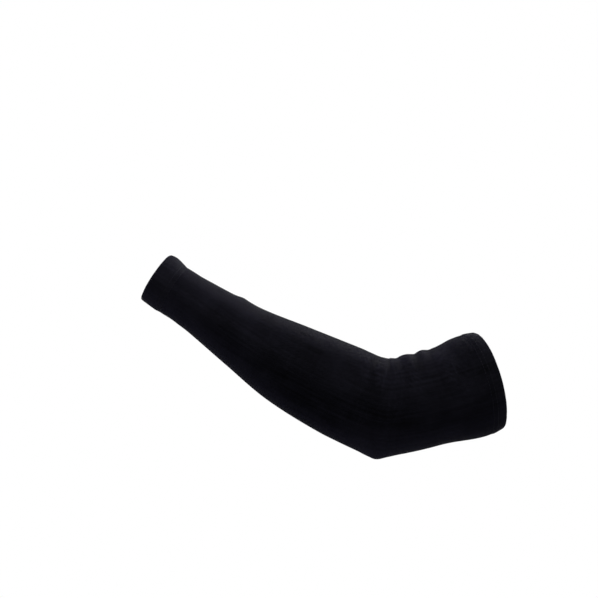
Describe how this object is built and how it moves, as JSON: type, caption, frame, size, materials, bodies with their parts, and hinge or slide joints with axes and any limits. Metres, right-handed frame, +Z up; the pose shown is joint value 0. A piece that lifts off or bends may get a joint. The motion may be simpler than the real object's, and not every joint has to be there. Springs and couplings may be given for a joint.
{
  "type": "arm cover",
  "caption": "Close-fitting black knitted arm cover in its worn, bent form: a hollow tapered sleeve over the elbow with turned hems at the wrist and the upper arm.",
  "frame": {"origin": "middle of the elbow, inside the sleeve, where the wearer's arm holds it", "axes": "+X towards the upper arm's opening and level, +Y away from the picture's camera, +Z up; the elbow bends in the XZ plane"},
  "size_m": [0.3282, 0.0986, 0.1831],
  "materials": {
    "knit": "fine black stretch knit, matte with a faint cool sheen",
    "hem": "the same knit turned under and sewn down with black thread"
  },
  "bodies": {
    "root": {"sleeve_body": "knit", "wrist_hem": "hem", "upper_arm_hem": "hem"}
  },
  "joints": []
}
